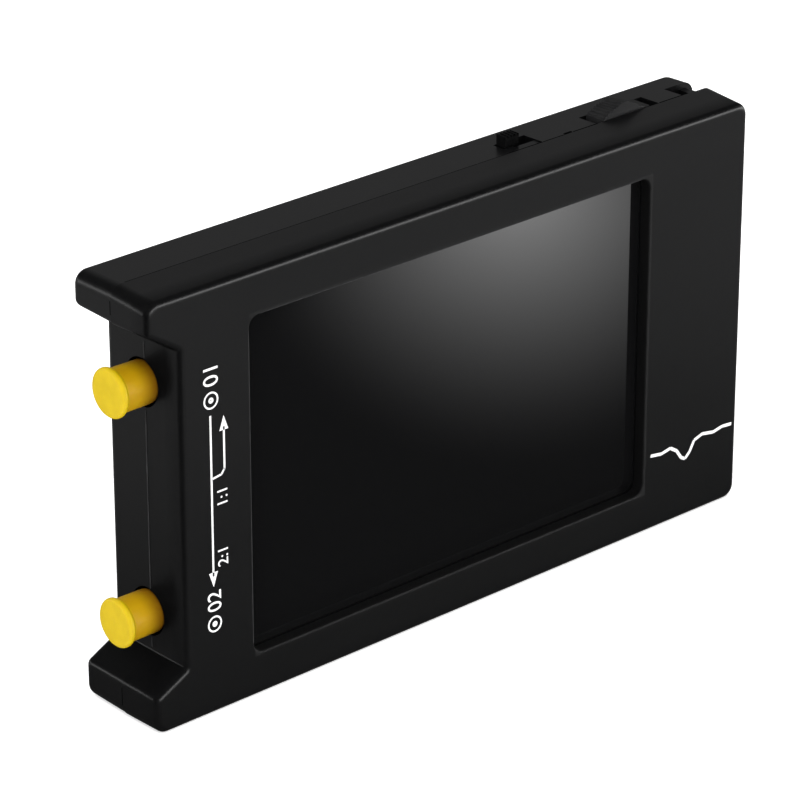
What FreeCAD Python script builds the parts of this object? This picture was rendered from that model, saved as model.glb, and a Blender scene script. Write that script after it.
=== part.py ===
import FreeCAD, Part
import math
import os

import Sketcher

# A hand-held two-port network analyzer, standing on its long lower edge.
# Millimetres. X runs along the case, with the two coaxial ports at the -X end.
# The screen faces -Y, the controls are on top (+Z), and the origin is the
# middle of the base.

doc = FreeCAD.newDocument("network_analyzer")
sheet = doc.addObject("Spreadsheet::Sheet", "Sizes")

DRIVING_SIZES = {
    # case
    "case_length": 133.7, "case_height": 76, "case_depth": 19, "front_depth": 8.7,
    "wall": 2, "face_wall": 2.2, "corner_round": 2.4, "tip_round": 1.3, "inner_round": 0.5,
    "front_round": 1.1, "rear_round": 1.5, "seam_step": 0.12,
    "front_draft_top": 0.65, "rear_draft_top": 0.4, "front_draft_end": 0.2, "rear_draft_end": 0.4,
    # recess for the two ports
    "notch_depth": 6.4, "notch_low_tip": 6.9, "notch_low_root": 10.2,
    "notch_high_root": 65.8, "notch_high_tip": 69.9,
    # screen
    "window_left": 20.7, "window_length": 89.2, "window_low": 7.8, "window_height": 59.8,
    "window_round": 2, "rim_edge": 0.3, "glass_depth": 2.45,
    "gasket_gap": 0.45, "glass_left": 14.5, "glass_right": 119, "glass_low": 6.2, "glass_high": 69.2,
    "glass_thick": 0.9, "cell_thick": 1.2, "light_thick": 1.8, "tray_thick": 0.3,
    # coaxial ports and their caps
    "port_y": 0.2, "port_upper": 57.6, "port_lower": 17, "port_hole": 4.2,
    "barrel_radius": 3.175, "barrel_tip": 2, "flange_face": 9.3, "flange_thick": 1.6,
    "flange_half": 3.2, "bore_radius": 2.06, "contact_radius": 0.635, "contact_hole": 0.45,
    "cap_face": -0.35, "cap_disc": 1, "cap_disc_radius": 4.25, "cap_radius": 3.75, "cap_end": 7.2,
    "cap_play": 0.05, "cap_floor": 1.1,
    # main board
    "board_y": 0.5, "board_thick": 1.6, "board_left": 10.9, "board_right": 131.2,
    "board_low": 2.6, "board_high": 71, "post_radius": 2.3, "screw_radius": 1.25, "screw_play": 0.05,
    "head_radius": 2.2, "head_thick": 1.5, "board_post": 2, "board_screw": 0.95,
    # power switch
    "power_slot_left": 85.9, "power_slot_right": 93, "power_slot_front": 1.5, "power_slot_rear": 4.2,
    "power_knob_length": 3.1, "power_knob_rise": 1.7, "knob_play": 0.25, "thumb_left": 87.9,
    "thumb_depth": 0.4,
    # jog switch
    "jog_slot_left": 105.6, "jog_slot_right": 120.6, "jog_slot_rear": 3.9, "jog_left": 107.1,
    "jog_right": 118.3, "jog_rise": 2.25,
    # opening for the charge light, and the cord eye
    "light_left": 98.2, "light_right": 100, "light_depth": 0.9,
    "eye_left": 126.3, "eye_depth": 4.7, "eye_drop": 5.6, "eye_wall": 1.6, "eye_bar": 2.4,
    # battery
    "cell_left": 33, "cell_length": 58, "cell_low": 14, "cell_height": 46, "pouch_thick": 3.9,
    # sockets in the far end
    "usb_z": 24, "usb_width": 8.94, "usb_height": 3.16, "usb_length": 7.35, "card_z": 50,
}
for row, (alias, number) in enumerate(DRIVING_SIZES.items(), start=1):
    sheet.set(f"A{row}", alias)
    sheet.set(f"B{row}", str(number))
    sheet.setAlias(f"B{row}", alias)
doc.recompute()


class Size:
    """A length together with the sheet expression that gives it."""

    def __init__(self, value, text):
        self.value = value
        self.text = text

    def __add__(self, other):
        other = as_size(other)
        return Size(self.value + other.value, f"({self.text} + {other.text})")

    def __sub__(self, other):
        other = as_size(other)
        return Size(self.value - other.value, f"({self.text} - {other.text})")

    def __mul__(self, factor):
        return Size(self.value * factor, f"({self.text} * {factor})")

    def __truediv__(self, divisor):
        return Size(self.value / divisor, f"({self.text} / {divisor})")

    def __neg__(self):
        return Size(-self.value, f"(0 - {self.text})")

    def __radd__(self, other):
        return as_size(other) + self

    def __rsub__(self, other):
        return as_size(other) - self

    __rmul__ = __mul__


def as_size(thing):
    return thing if isinstance(thing, Size) else Size(float(thing), f"({float(thing)})")


class S:
    """Every cell of the sheet as a Size, under its alias: S.wall, S.port_y and so on."""


for alias, number in DRIVING_SIZES.items():
    setattr(S, alias, Size(float(number), f"Sizes.{alias}"))

# Planes and places that several sub-parts share, worked out from the sheet.
LEFT = -S.case_length / 2
RIGHT = S.case_length / 2
FRONT = -S.case_depth / 2
REAR = S.case_depth / 2
SPLIT = FRONT + S.front_depth
FACE_INSIDE = FRONT + S.face_wall
REAR_INSIDE = REAR - S.wall
GLASS_Y = FRONT + S.glass_depth
BOARD_REAR = S.board_y + S.board_thick
BASE_STOCK = 0.02   # left under the base, then cut off level
NORMAL = {"XY_Plane": (0, 0, 1), "XZ_Plane": (0, -1, 0), "YZ_Plane": (1, 0, 0)}
CASE_POSTS = [(11.5, 5), (11.5, 71), (128, 5), (122.2, 69)]
BOARD_POSTS = [(11.8, 37), (122.4, 22), (122.4, 60.5)]


def along(distance):
    """The X of a place measured from the port end."""
    return LEFT + distance


def bind(thing, prop, size):
    thing.setExpression(prop, as_size(size).text)


# ---------------------------------------------------------------- helpers

def new_body(name):
    body = doc.addObject("PartDesign::Body", name)
    body.Label = name
    return body


def new_sketch(body, name, role, level):
    plane = [f for f in body.Origin.OriginFeatures if f.Role == role][0]
    sketch = body.newObject("Sketcher::SketchObject", name)
    sketch.AttachmentSupport = [(plane, "")]
    sketch.MapMode = "FlatFace"
    bind(sketch, "AttachmentOffset.Base.z", level)
    return sketch


def polygon(sketch, corners):
    """Adds a closed outline of straight sides, each corner held by two sizes."""
    corners = [(as_size(a), as_size(b)) for a, b in corners]
    points = [FreeCAD.Vector(a.value, b.value, 0) for a, b in corners]
    first = sketch.GeometryCount
    for start, end in zip(points, points[1:] + points[:1]):
        sketch.addGeometry(Part.LineSegment(start, end), False)
    count = len(points)
    for number in range(count):
        after = first + (number + 1) % count
        sketch.addConstraint(Sketcher.Constraint("Coincident", first + number, 2, after, 1))
    for number, (across, up) in enumerate(corners):
        for kind, size in (("DistanceX", across), ("DistanceY", up)):
            index = sketch.addConstraint(
                Sketcher.Constraint(kind, -1, 1, first + number, 1, size.value))
            bind(sketch, f"Constraints[{index}]", size)


def circle(sketch, across, up, radius):
    across, up, radius = as_size(across), as_size(up), as_size(radius)
    centre = FreeCAD.Vector(across.value, up.value, 0)
    number = sketch.addGeometry(
        Part.Circle(centre, FreeCAD.Vector(0, 0, 1), radius.value), False)
    for kind, size in (("DistanceX", across), ("DistanceY", up)):
        index = sketch.addConstraint(Sketcher.Constraint(kind, -1, 1, number, 3, size.value))
        bind(sketch, f"Constraints[{index}]", size)
    index = sketch.addConstraint(Sketcher.Constraint("Radius", number, radius.value))
    bind(sketch, f"Constraints[{index}]", radius)


def rectangle(low_x, high_x, low_y, high_y):
    return [(low_x, low_y), (high_x, low_y), (high_x, high_y), (low_x, high_y)]


def extrude(body, kind, sketch, role, length, way):
    """A Pad or Pocket of the sketch along way (+1 or -1 on the plane's axis)."""
    feature = body.newObject(f"PartDesign::{kind}", kind)
    feature.Profile = sketch
    bind(feature, "Length", length)
    outward = sum(NORMAL[role]) * way
    feature.Reversed = outward < 0 if kind == "Pad" else outward > 0
    volume = body.Shape.Volume if body.Shape and not body.Shape.isNull() else 0
    doc.recompute()
    grown = body.Shape.Volume - volume
    if grown * (1 if kind == "Pad" else -1) <= 0:
        raise RuntimeError(f"{body.Label}: {feature.Name} changed nothing")
    return feature


def edges_where(shape, test):
    return [f"Edge{n}" for n, edge in enumerate(shape.Edges, start=1) if test(edge)]


def ease(body, kind, size, test):
    """A Fillet or Chamfer on the edges of the body's tip that pass the test."""
    base = body.Tip
    names = edges_where(base.Shape, test)
    if not names:
        raise RuntimeError(f"{body.Label}: no edge to ease")
    feature = body.newObject(f"PartDesign::{kind}", kind)
    feature.Base = (base, names)
    bind(feature, "Radius" if kind == "Fillet" else "Size", size)
    doc.recompute()
    return feature


def ends(edge):
    return edge.Vertexes[0].Point, edge.Vertexes[-1].Point


def level_edge(y):
    """True for an edge whose two ends lie on the plane at this Y."""
    def test(edge):
        return all(abs(point.y - y.value) < 1e-4 for point in ends(edge))
    return test


def corner_edge(places, reach=0.9):
    """True for an edge that runs front to back near one of the (x, z) places."""
    spots = [(as_size(x).value, as_size(z).value) for x, z in places]

    def test(edge):
        start, end = ends(edge)
        if abs(start.y - end.y) < 0.2 or edge.Length > 1.001 * start.distanceToPoint(end):
            return False
        middle = (start + end) * 0.5
        return any(math.hypot(middle.x - x, middle.z - z) < reach for x, z in spots)
    return test


def block(name, x, y, z):
    """A box between a low and a high size on each axis."""
    box = doc.addObject("Part::Box", name)
    for side, axis, (low, high) in zip(("Length", "Width", "Height"), "xyz", (x, y, z)):
        bind(box, side, as_size(high) - low)
        bind(box, f"Placement.Base.{axis}", low)
    return box


def rod(name, radius, length, base, axis):
    """A cylinder from base along +X, +Y or +Z."""
    turn = {"x": ((0, 1, 0), 90), "y": ((1, 0, 0), -90), "z": ((0, 0, 1), 0)}[axis]
    cylinder = doc.addObject("Part::Cylinder", name)
    cylinder.Placement.Rotation = FreeCAD.Rotation(FreeCAD.Vector(*turn[0]), turn[1])
    bind(cylinder, "Radius", radius)
    bind(cylinder, "Height", length)
    for place, size in zip("xyz", base):
        bind(cylinder, f"Placement.Base.{place}", size)
    return cylinder


def fuse(name, pieces):
    joined = doc.addObject("Part::MultiFuse", name)
    joined.Shapes = pieces
    joined.Refine = True
    return joined


def cut(name, base, tool):
    result = doc.addObject("Part::Cut", name)
    result.Base = base
    result.Tool = tool
    return result


def group(name, pieces):
    """Separate solids kept in one sub-part."""
    together = doc.addObject("Part::Compound", name)
    together.Links = pieces
    return together


def softened(name, base, radius, test=None):
    """A Part fillet of the base object's chosen edges, or of all of them."""
    doc.recompute()
    result = doc.addObject("Part::Fillet", name)
    result.Base = base
    size = as_size(radius).value
    result.Edges = [(number, size, size) for number, edge in enumerate(base.Shape.Edges, start=1)
                    if test is None or test(edge)]
    return result


def turned(name, centre_z, profile):
    """A solid of revolution about a port's axis; the profile is (x, radius) pairs."""
    body = new_body(name)
    sketch = new_sketch(body, name + "_profile", "XZ_Plane", -S.port_y)
    bind(sketch, "AttachmentOffset.Base.y", centre_z)
    polygon(sketch, profile)
    feature = body.newObject("PartDesign::Revolution", "Turn")
    feature.Profile = sketch
    feature.ReferenceAxis = (sketch, ["H_Axis"])
    feature.Angle = 360
    return body


# ---------------------------------------------------------------- case

def case_outline(end, top):
    """The case seen from the front, shrunk by the draft at its ends and top."""
    slide = end * 0.6
    return [
        (LEFT + end, -BASE_STOCK), (RIGHT - end, -BASE_STOCK),
        (RIGHT - end, S.case_height - top), (LEFT + end, S.case_height - top),
        (LEFT + end, S.notch_high_tip + slide),
        (LEFT + S.notch_depth + end, S.notch_high_root + slide),
        (LEFT + S.notch_depth + end, S.notch_low_root - slide),
        (LEFT + end, S.notch_low_tip - slide),
    ]


def cavity_outline(top):
    """The hollow inside the shells, which leaves the cord eye's corner solid."""
    tip, inner = LEFT + S.wall + 0.4, LEFT + S.notch_depth + S.wall
    high = S.case_height - S.wall - top
    eye_x = along(S.eye_left) - S.eye_wall
    eye_z = S.case_height - S.eye_drop - S.eye_wall
    return [
        (tip, S.wall), (RIGHT - S.wall - 0.4, S.wall), (RIGHT - S.wall - 0.4, eye_z),
        (eye_x, eye_z), (eye_x, high), (tip, high),
        (tip, S.notch_high_tip + S.wall), (inner, S.notch_high_root + S.wall),
        (inner, S.notch_low_root - S.wall), (tip, S.notch_low_tip - S.wall),
    ]


def shell(name, face, end, top, face_round, step=0):
    """A drafted outer skin between the seam and the front or rear face, set in by step at the seam."""
    body = new_body(name)
    seam = (SPLIT, case_outline(as_size(step), as_size(step)))
    outer = (face, case_outline(end, top))
    sections = []
    for y, corners in sorted((seam, outer), key=lambda pair: -pair[0].value):
        sketch = new_sketch(body, f"{name}_section", "XZ_Plane", -y)
        polygon(sketch, corners)
        sections.append(sketch)
    loft = body.newObject("PartDesign::AdditiveLoft", "Skin")
    loft.Profile = sections[0]
    loft.Sections = sections[1:]
    loft.Ruled = True
    doc.recompute()
    outline = case_outline((end + step) / 2, (top + step) / 2)
    ease(body, "Fillet", S.corner_round, corner_edge(outline[:4]))
    ease(body, "Fillet", S.tip_round, corner_edge([outline[4], outline[7]]))
    ease(body, "Fillet", S.inner_round, corner_edge(outline[5:7]))
    ease(body, "Fillet", face_round, level_edge(face))
    trim = new_sketch(body, f"{name}_trim", "XY_Plane", 0)
    polygon(trim, rectangle(LEFT - 1, RIGHT + 1, FRONT - 1, REAR + 1))
    extrude(body, "Pocket", trim, "XY_Plane", as_size(1), -1)
    return body


def pocket_y(body, name, corners, level, depth, way):
    sketch = new_sketch(body, name, "XZ_Plane", -level)
    polygon(sketch, corners)
    return extrude(body, "Pocket", sketch, "XZ_Plane", depth, way)


def pad_y(body, name, corners, level, depth, way, inside=None):
    sketch = new_sketch(body, name, "XZ_Plane", -level)
    polygon(sketch, corners)
    if inside:
        polygon(sketch, inside)
    return extrude(body, "Pad", sketch, "XZ_Plane", depth, way)


def circles_y(body, kind, name, places, radius, level, depth, way):
    sketch = new_sketch(body, name, "XZ_Plane", -level)
    for x, z in places:
        circle(sketch, along(x), as_size(z), radius)
    return extrude(body, kind, sketch, "XZ_Plane", depth, way)


def port_holes(body):
    sketch = new_sketch(body, "port_holes", "YZ_Plane", LEFT)
    for height in (S.port_upper, S.port_lower):
        circle(sketch, S.port_y, height, S.port_hole)
    depth = S.notch_depth + S.wall + 0.5
    extrude(body, "Pocket", sketch, "YZ_Plane", depth, 1)


def window_corners(margin=0):
    left = along(S.window_left) - margin
    low = S.window_low - margin
    return rectangle(left, left + S.window_length + 2 * margin,
                     low, low + S.window_height + 2 * margin)


def front_shell():
    body = shell("front_shell", FRONT, S.front_draft_end, S.front_draft_top, S.front_round)
    pocket_y(body, "cavity", cavity_outline(S.front_draft_top), SPLIT,
             SPLIT - FACE_INSIDE, -1)
    pocket_y(body, "window", window_corners(), FRONT, S.face_wall + 1, 1)
    ease(body, "Fillet", S.window_round, corner_edge(window_corners()))
    left, low = window_corners()[0]
    right, high = window_corners()[2]

    def rim_edge(edge):
        middle = sum((v.Point for v in edge.Vertexes), FreeCAD.Vector()) / len(edge.Vertexes)
        inside = left.value - 0.1 < middle.x < right.value + 0.1
        return inside and low.value - 0.1 < middle.z < high.value + 0.1 and level_edge(FRONT)(edge)
    ease(body, "Fillet", S.rim_edge, rim_edge)
    boss_length = S.board_y - FACE_INSIDE
    circles_y(body, "Pad", "case_bosses", CASE_POSTS, S.post_radius, FACE_INSIDE, boss_length, 1)
    circles_y(body, "Pad", "board_bosses", BOARD_POSTS, S.board_post, FACE_INSIDE, boss_length, 1)
    circles_y(body, "Pocket", "case_threads", CASE_POSTS, S.screw_radius + S.screw_play,
              S.board_y, boss_length - 0.6, -1)
    circles_y(body, "Pocket", "board_threads", BOARD_POSTS, S.board_screw + S.screw_play,
              S.board_y, boss_length - 1.5, -1)
    port_holes(body)
    return body


def top_slot(body, name, left, right, front, rear, depth):
    sketch = new_sketch(body, name, "XY_Plane", S.case_height)
    polygon(sketch, rectangle(along(left), along(right), front, rear))
    extrude(body, "Pocket", sketch, "XY_Plane", depth, -1)


def end_slot(body, name, centre_y, centre_z, half_y, half_z):
    sketch = new_sketch(body, name, "YZ_Plane", RIGHT)
    polygon(sketch, rectangle(centre_y - half_y, centre_y + half_y,
                              centre_z - half_z, centre_z + half_z))
    extrude(body, "Pocket", sketch, "YZ_Plane", S.wall + 0.8, -1)


def rear_shell():
    body = shell("rear_shell", REAR, S.rear_draft_end, S.rear_draft_top, S.rear_round, S.seam_step)
    pocket_y(body, "cavity", cavity_outline(S.rear_draft_top), SPLIT, REAR_INSIDE - SPLIT, 1)
    post_length = REAR_INSIDE - BOARD_REAR
    circles_y(body, "Pad", "case_posts", CASE_POSTS, S.post_radius, REAR_INSIDE, post_length, -1)
    circles_y(body, "Pocket", "case_holes", CASE_POSTS, S.screw_radius + 0.15,
              REAR, S.wall + post_length, -1)
    circles_y(body, "Pocket", "head_holes", CASE_POSTS, S.head_radius + 0.2,
              REAR, S.head_thick + 0.3, -1)
    through = S.wall + S.rear_draft_top + 0.6
    top_slot(body, "power_slot", S.power_slot_left, S.power_slot_right,
             S.power_slot_front, S.power_slot_rear, through)
    top_slot(body, "thumb_recess", S.thumb_left, S.power_slot_right, SPLIT,
             S.power_slot_front, S.thumb_depth)
    top_slot(body, "jog_slot", S.jog_slot_left, S.jog_slot_right, SPLIT, S.jog_slot_rear, through)
    top_slot(body, "light_hole", S.light_left, S.light_right, SPLIT, SPLIT + S.light_depth, through)
    top_slot(body, "cord_eye", S.eye_left, S.case_length + 1, SPLIT, SPLIT + S.eye_depth, S.eye_drop)
    bar_x = RIGHT - 1.2 - S.eye_bar
    bar_z = S.case_height - 1.3 - S.eye_bar
    pad_y(body, "cord_bar", rectangle(bar_x, bar_x + S.eye_bar, bar_z, bar_z + S.eye_bar),
          SPLIT + S.eye_depth + 0.5, S.eye_depth + 0.3, -1)
    bar_corners = [(bar_x, bar_z), (bar_x + S.eye_bar, bar_z + S.eye_bar)]
    ease(body, "Fillet", as_size(1.0), corner_edge(bar_corners[1:], 0.1))
    usb_y = BOARD_REAR + S.usb_height / 2
    end_slot(body, "usb_hole", usb_y, S.usb_z, S.usb_height / 2 + 0.25, S.usb_width / 2 + 0.25)
    rounds = [(usb_y + side_y * (S.usb_height / 2 + 0.25), S.usb_z + side_z * (S.usb_width / 2 + 0.25))
              for side_y in (-1, 1) for side_z in (-1, 1)]

    def usb_corner(edge):
        start, end = ends(edge)
        return abs(start.x - end.x) > 1.5 and any(
            math.hypot(start.y - y.value, start.z - z.value) < 0.05 for y, z in rounds)
    ease(body, "Fillet", as_size(1.6), usb_corner)
    end_slot(body, "card_hole", BOARD_REAR + 0.8, S.card_z, as_size(1.0), as_size(6.0))
    port_holes(body)
    return body


def case_screws():
    """Four cap screws from the rear, with hexagon sockets."""
    pieces = []
    head_y = REAR - S.head_thick - 0.3
    for number, (x, z) in enumerate(CASE_POSTS):
        head = rod(f"case_head{number}", S.head_radius, S.head_thick, (along(x), head_y, z), "y")
        shank = rod(f"case_shank{number}", S.screw_radius, head_y - FACE_INSIDE - 1.4,
                    (along(x), FACE_INSIDE + 1.4, z), "y")
        socket = doc.addObject("Part::Prism", f"case_socket{number}")
        socket.Polygon = 6
        socket.Circumradius = 1.15
        socket.Height = 1.2
        socket.Placement.Rotation = FreeCAD.Rotation(FreeCAD.Vector(1, 0, 0), 90)
        for axis, size in zip("xyz", (along(x), head_y + S.head_thick, z)):
            bind(socket, f"Placement.Base.{axis}", size)
        joined = fuse(f"case_screw{number}_blank", [head, shank])
        pieces.append(cut(f"case_screw{number}", joined, socket))
    return group("case_screws", pieces)


def board_screws():
    pieces = []
    for number, (x, z) in enumerate(BOARD_POSTS):
        head = rod(f"board_head{number}", 1.8, 1.2, (along(x), BOARD_REAR, z), "y")
        shank = rod(f"board_shank{number}", S.board_screw, as_size(6.5),
                    (along(x), BOARD_REAR - 6.5, z), "y")
        pieces.append(fuse(f"board_screw{number}", [head, shank]))
    return group("board_screws", pieces)


# ---------------------------------------------------------------- display

def plate(name, corners, low_y, high_y, hole=None, round_corners=None):
    body = new_body(name)
    pad_y(body, name + "_outline", corners, low_y, as_size(high_y) - low_y, 1, inside=hole)
    if round_corners:
        ease(body, "Fillet", as_size(round_corners), corner_edge(corners, 0.1))
    return body


def glass_corners(margin):
    return rectangle(along(S.glass_left) + margin, along(S.glass_right) - margin,
                     S.glass_low + margin, S.glass_high - margin)


def display():
    hole = window_corners(S.gasket_gap)
    outer = rectangle(hole[0][0] - 3, hole[1][0] + 3, hole[0][1] - 0.9, hole[2][1] + 0.9)
    plate("screen_gasket", outer, FACE_INSIDE, GLASS_Y, hole=hole)
    cell_y = GLASS_Y + S.glass_thick
    light_y = cell_y + S.cell_thick
    tray_y = light_y + S.light_thick
    plate("touch_glass", glass_corners(0), GLASS_Y, cell_y, round_corners=1.5)
    plate("lcd_panel", glass_corners(2.2), cell_y, light_y)
    plate("backlight", glass_corners(2.2), light_y, tray_y)
    tray_outer = block("tray_outer", *box_of(glass_corners(1.8), cell_y, tray_y + S.tray_thick))
    tray_inner = block("tray_inner", *box_of(glass_corners(2.2), cell_y - 1, tray_y))
    cut("lcd_tray", tray_outer, tray_inner)
    display_tail(tray_y)


def box_of(corners, low_y, high_y):
    (low_x, low_z), (high_x, high_z) = corners[0], corners[2]
    return (low_x, high_x), (low_y, high_y), (low_z, high_z)


def display_tail(tray_y):
    """The flat tail of the display, its socket on the board and the socket's latch."""
    tail_y, tail_x = S.board_y - 0.8, along(S.glass_right) - 1.8
    riser = block("lcd_tail_riser", (tail_x, tail_x + 0.15), (tray_y - 1, tail_y), (29.5, 46.5))
    strip = block("lcd_tail_strip", (tail_x, along(124.4)), (tail_y - 0.15, tail_y), (29.5, 46.5))
    fuse("lcd_tail", [riser, strip])
    housing = block("lcd_socket_block", (along(123), along(127)), (S.board_y - 1.6, S.board_y),
                    (28, 48))
    slot = block("lcd_socket_slot", (along(122), along(124.4)), (tail_y - 0.25, tail_y + 0.1),
                 (29.2, 46.8))
    cut("lcd_socket", housing, slot)
    pivot_x, pivot_y = along(126.85), S.board_y - 1.875
    flap = block("lcd_latch_flap", (along(124.5), pivot_x), (pivot_y - 0.2, pivot_y + 0.2), (29, 47))
    pivot = rod("lcd_latch_pivot", 0.225, 18, (pivot_x, pivot_y, 29), "z")
    fuse("lcd_latch", [flap, pivot])


# ---------------------------------------------------------------- main board

def main_board():
    body = new_body("main_board")
    eye_x = along(S.eye_left) - S.eye_wall - 0.4
    eye_z = S.case_height - S.eye_drop - S.eye_wall - 0.4
    left, right = along(S.board_left), along(S.board_right)
    pad_y(body, "board_outline",
          [(left, S.board_low), (right, S.board_low), (right, eye_z), (eye_x, eye_z),
           (eye_x, S.board_high), (left, S.board_high)],
          S.board_y, S.board_thick, 1)
    circles_y(body, "Pocket", "case_screw_holes", CASE_POSTS, S.screw_radius + 0.25,
              S.board_y, S.board_thick, 1)
    circles_y(body, "Pocket", "board_screw_holes", BOARD_POSTS, S.board_screw + 0.15,
              S.board_y, S.board_thick, 1)


def chip(name, x, z, length, height, thick):
    """A chip on the rear of the board, centred at (x, z)."""
    return block(name, (along(x - length / 2), along(x + length / 2)),
                 (BOARD_REAR, BOARD_REAR + thick), (z - height / 2, z + height / 2))


def board_chips():
    chip("processor_chip", 62, 38, 7, 7, 0.9)
    chip("clock_chip", 46, 37, 3, 3, 0.8)
    chip("codec_chip", 62, 24, 5, 5, 0.8)
    chip("crystal_can", 50, 46, 3.2, 2.5, 0.9)
    chip("charger_chip", 112, 20, 4, 4, 0.8)
    group("mixer_chips", [chip(f"mixer{n}", 21 + 3.5 * (n % 2), z, 2.4, 2.4, 0.8)
                          for n, z in enumerate((54, 60, 14, 20))])
    small = []
    for column in range(6):
        for row_number in range(4):
            x, z = 42 + 7 * column, 52 + 2.6 * row_number
            small.append(chip(f"small_part{column}_{row_number}", x, z, 1.6, 0.8, 0.6))
    group("board_passives", small)
    for label, z in (("shield_can_upper", S.port_upper), ("shield_can_lower", S.port_lower)):
        outer = block(label + "_outer", (along(16.5), along(30.5)),
                      (BOARD_REAR, BOARD_REAR + 2.4), (z - 7, z + 7))
        inner = block(label + "_inner", (along(16.7), along(30.3)),
                      (BOARD_REAR - 1, BOARD_REAR + 2.2), (z - 6.8, z + 6.8))
        cut(label, outer, inner)
    block("charge_light", (along(98.6), along(99.6)), (S.board_y - 0.7, S.board_y),
          (S.board_high - 1.6, S.board_high - 0.2))


# ---------------------------------------------------------------- ports

def port(label, height):
    """One coaxial port: its gold body, insulator, centre contact and dust cap."""
    tip = along(S.barrel_tip)
    face = along(S.flange_face)
    back = face + S.flange_thick
    barrel = turned(f"{label}_barrel", height, [
        (tip, S.bore_radius), (back, S.bore_radius), (back, S.flange_half - 0.4),
        (face, S.flange_half - 0.4), (face, S.barrel_radius), (tip + 0.3, S.barrel_radius),
        (tip, S.barrel_radius - 0.3)])
    low, high = height - S.flange_half, height + S.flange_half
    flange_block = block(f"{label}_flange_block", (face, back),
                         (S.port_y - S.flange_half, S.port_y + S.flange_half), (low, high))
    flange_bore = rod(f"{label}_flange_bore", S.bore_radius, S.flange_thick + 2,
                      (face - 1, S.port_y, height), "x")
    legs = []
    for side_z in (low, high - 1):
        for side, (leg_low, leg_high) in enumerate(
                ((S.board_y - 1, S.board_y), (BOARD_REAR, BOARD_REAR + 1))):
            legs.append(block(f"{label}_leg{side}", (back, back + 3.3), (leg_low, leg_high),
                              (side_z, side_z + 1)))
    flange = cut(f"{label}_flange", flange_block, flange_bore)
    fuse(f"{label}_body", [barrel, flange] + legs)
    turned(f"{label}_insulator", height, [
        (tip + 0.4, S.contact_radius), (back, S.contact_radius),
        (back, S.bore_radius), (tip + 0.4, S.bore_radius)])
    turned(f"{label}_contact", height, [
        (tip + 0.6, S.contact_hole), (tip + 4, S.contact_hole), (tip + 4.2, 0), (back + 2.6, 0),
        (back + 2.6, 0.28), (back, 0.28), (back, S.contact_radius),
        (tip + 0.6, S.contact_radius)])
    disc = along(S.cap_face)
    inner = S.barrel_radius + S.cap_play
    floor = disc + S.cap_floor
    cap = turned(f"{label}_cap", height, [
        (disc, 0), (disc, S.cap_disc_radius - 0.35), (disc + 0.35, S.cap_disc_radius),
        (disc + S.cap_disc - 0.25, S.cap_disc_radius), (disc + S.cap_disc, S.cap_disc_radius - 0.2),
        (disc + S.cap_disc + 0.15, S.cap_radius), (along(S.cap_end), S.cap_radius),
        (along(S.cap_end), inner), (floor, inner), (floor, 0)])
    return cap


# ---------------------------------------------------------------- battery

def lead(name, points, radius):
    """A wire along straight runs joined by tangent arcs, each as large as its runs allow."""
    path, here = [], points[0]
    for before, corner, after in zip(points, points[1:], points[2:]):
        inward, outward = (corner - before).normalize(), (after - corner).normalize()
        half_turn = inward.getAngle(outward) / 2
        reach = 0.45 * min(corner.distanceToPoint(before), corner.distanceToPoint(after))
        start, end = corner - inward * reach, corner + outward * reach
        bend = reach / math.tan(half_turn)
        print(f"{name}: bend radius {bend:.1f}")
        to_centre = (outward - inward).normalize()
        centre = corner + to_centre * math.hypot(bend, reach)
        path += [Part.LineSegment(here, start).toShape(),
                 Part.Arc(start, centre - to_centre * bend, end).toShape()]
        here = end
    path.append(Part.LineSegment(here, points[-1]).toShape())
    route = Part.Wire(path)
    section = Part.Wire(Part.Circle(points[0], points[1] - points[0], radius).toShape())
    wire = doc.addObject("Part::Feature", name)
    wire.Shape = route.makePipeShell([section], True, False)
    expected = math.pi * radius ** 2 * route.Length
    if abs(wire.Shape.Volume / expected - 1) > 0.01:
        raise RuntimeError(f"{name}: the wire's volume is wrong")
    return wire


def battery():
    right = along(S.cell_left) + S.cell_length
    top = S.cell_low + S.cell_height
    pouch_y = REAR_INSIDE - 0.3 - S.pouch_thick
    body = new_body("battery_pouch")
    corners = rectangle(along(S.cell_left), right, S.cell_low, top)
    pad_y(body, "pouch_outline", corners, pouch_y, S.pouch_thick, 1)
    ease(body, "Fillet", as_size(2.0), corner_edge(corners, 0.1))
    ease(body, "Fillet", as_size(1.1), level_edge(pouch_y))
    ease(body, "Fillet", as_size(1.1), level_edge(pouch_y + S.pouch_thick))
    block("battery_pad", (along(S.cell_left) + 6, right - 6), (REAR_INSIDE - 0.3, REAR_INSIDE),
          (S.cell_low + 5, top - 5))
    plug_x, plug_z = along(100), 52
    header = block("header_block", (plug_x - 1.5, plug_x + 6), (BOARD_REAR, BOARD_REAR + 4.4),
                   (plug_z - 4, plug_z + 4))
    well = block("header_well", (plug_x - 2, plug_x + 5), (BOARD_REAR + 0.9, BOARD_REAR + 3.6),
                 (plug_z - 3.1, plug_z + 3.1))
    cut("battery_header", header, well)
    block("battery_plug", (plug_x, plug_x + 4.9), (BOARD_REAR + 0.95, BOARD_REAR + 3.5),
          (plug_z - 3, plug_z + 3))
    exit_y = (pouch_y + S.pouch_thick / 2).value
    plug_y = (BOARD_REAR + 2.2).value
    for name, exit_z, plug_side in (("battery_lead_red", 48.0, -1), ("battery_lead_black", 56.0, 1)):
        lead(name, [
            FreeCAD.Vector(right.value, exit_y, exit_z),
            FreeCAD.Vector(right.value + 2.8, exit_y, exit_z),
            FreeCAD.Vector(plug_x.value - 2.8, plug_y, plug_z + plug_side),
            FreeCAD.Vector(plug_x.value, plug_y, plug_z + plug_side)], 0.55)


# ---------------------------------------------------------------- controls

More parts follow.
